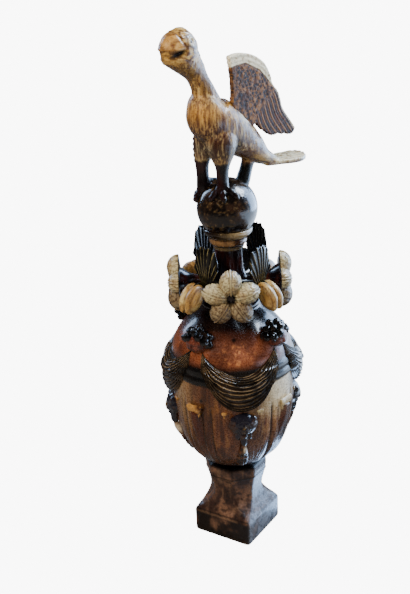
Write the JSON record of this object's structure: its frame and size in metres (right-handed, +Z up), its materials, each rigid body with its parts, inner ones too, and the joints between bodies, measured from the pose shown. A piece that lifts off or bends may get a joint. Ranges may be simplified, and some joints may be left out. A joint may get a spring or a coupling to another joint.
{
  "type": "roof spire finial",
  "caption": "Glazed earthenware roof finial: square pedestal, urn with lion masks, putto heads and swags, crown of flowers, and a long-necked bird on a ball.",
  "frame": {"origin": "on the upright axis, at the level of the underside", "axes": "+Z up along the stack's axis; X and Y square to the plinth's faces; the bird looks along -Y, 20.5 degrees towards -X"},
  "size_m": [0.3356, 0.3925, 1.3058],
  "materials": {
    "pedestal": "mottled dark-brown gloss glaze",
    "urn": "running rust, ochre and black-green gloss glazes",
    "flower_crown": "cream petals, ochre buds and dark-green fans under gloss glaze",
    "bird_on_ball": "cream glaze with running brown streaks, dark ball and legs"
  },
  "bodies": {
    "root": {"pedestal": "pedestal", "urn": "urn", "flower_crown": "flower_crown", "bird_on_ball": "bird_on_ball"}
  },
  "joints": []
}
